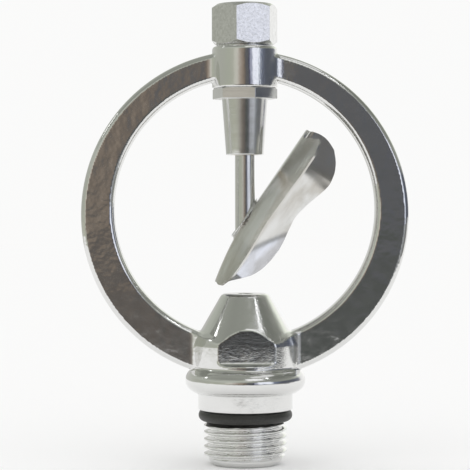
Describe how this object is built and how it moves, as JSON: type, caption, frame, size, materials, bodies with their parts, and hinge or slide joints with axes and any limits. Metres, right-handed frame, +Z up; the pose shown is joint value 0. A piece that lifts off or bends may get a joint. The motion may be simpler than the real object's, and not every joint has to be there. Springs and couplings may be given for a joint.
{
  "type": "rotary ring sprinkler head",
  "caption": "Garden sprinkler head: a cast ring with a threaded inlet and jet nozzle at its foot and a bearing at its top, from which a folded blade spins in the jet.",
  "frame": {"origin": "centre of the inlet's end face, at the foot of the part", "axes": "+Z up along the shaft and the inlet's axis, +X along the ring's width, +Y through the ring's window"},
  "size_m": [0.082, 0.0302, 0.1154],
  "materials": {
    "chrome_casting": "polished chrome plating over a zinc casting",
    "plated_nut": "satin nickel-chrome plating",
    "turned_steel": "turned stainless steel with fine lathe marks",
    "blade_sheet": "bright rolled stainless sheet",
    "spring_steel": "dark spring steel",
    "bush_plastic": "natural acetal",
    "rubber": "black nitrile rubber"
  },
  "bodies": {
    "head": {"ring_casting": "chrome_casting", "inlet_o_ring": "rubber", "bearing_sleeve": "turned_steel", "cap_nut": "plated_nut", "lower_bush": "bush_plastic", "upper_bush": "bush_plastic", "thrust_washer": "turned_steel", "thrust_pad": "bush_plastic"},
    "rotor": {"shaft": "turned_steel", "retaining_clip": "spring_steel", "spinner_blade": "blade_sheet"}
  },
  "joints": [
    {"name": "rotor_spin", "type": "hinge", "parent": "head", "child": "rotor", "pos_m": [0, 0, 0.0777], "axis": [0, 0, 1], "continuous": true}
  ]
}
